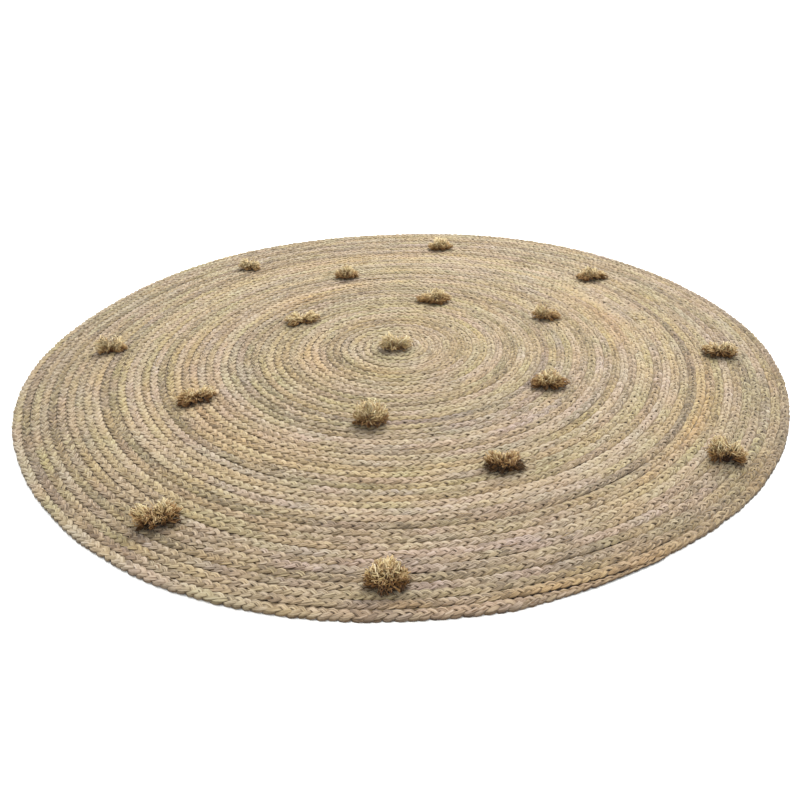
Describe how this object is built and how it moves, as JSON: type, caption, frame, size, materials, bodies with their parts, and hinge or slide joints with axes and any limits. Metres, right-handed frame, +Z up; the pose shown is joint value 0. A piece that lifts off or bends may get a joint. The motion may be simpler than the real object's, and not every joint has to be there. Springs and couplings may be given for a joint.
{
  "type": "round braided jute rug with pompoms",
  "caption": "Round flat rug coiled from one braided jute plait and sewn turn to turn, with small brown jute pompoms tied to its top in rings.",
  "frame": {"origin": "the middle of the coil, on the floor under the rug", "axes": "+Z up through the rug's thickness; -Y towards the picture's camera and +X to its right"},
  "size_m": [1.4972, 1.5017, 0.0468],
  "materials": {
    "plaited_jute": "matt straw-coloured jute braid, its strands from cream to tan and grey-beige",
    "brown_jute": "matt golden-brown cut jute fibre, darker at its root"
  },
  "bodies": {
    "root": {"plait_coil": "plaited_jute", "pompom_01": "brown_jute", "pompom_02": "brown_jute", "pompom_03": "brown_jute", "pompom_04": "brown_jute", "pompom_05": "brown_jute", "pompom_06": "brown_jute", "pompom_07": "brown_jute", "pompom_08": "brown_jute", "pompom_09": "brown_jute", "pompom_10": "brown_jute", "pompom_11": "brown_jute", "pompom_12": "brown_jute", "pompom_13": "brown_jute", "pompom_14": "brown_jute", "pompom_15": "brown_jute", "pompom_16": "brown_jute", "pompom_17": "brown_jute"}
  },
  "joints": []
}
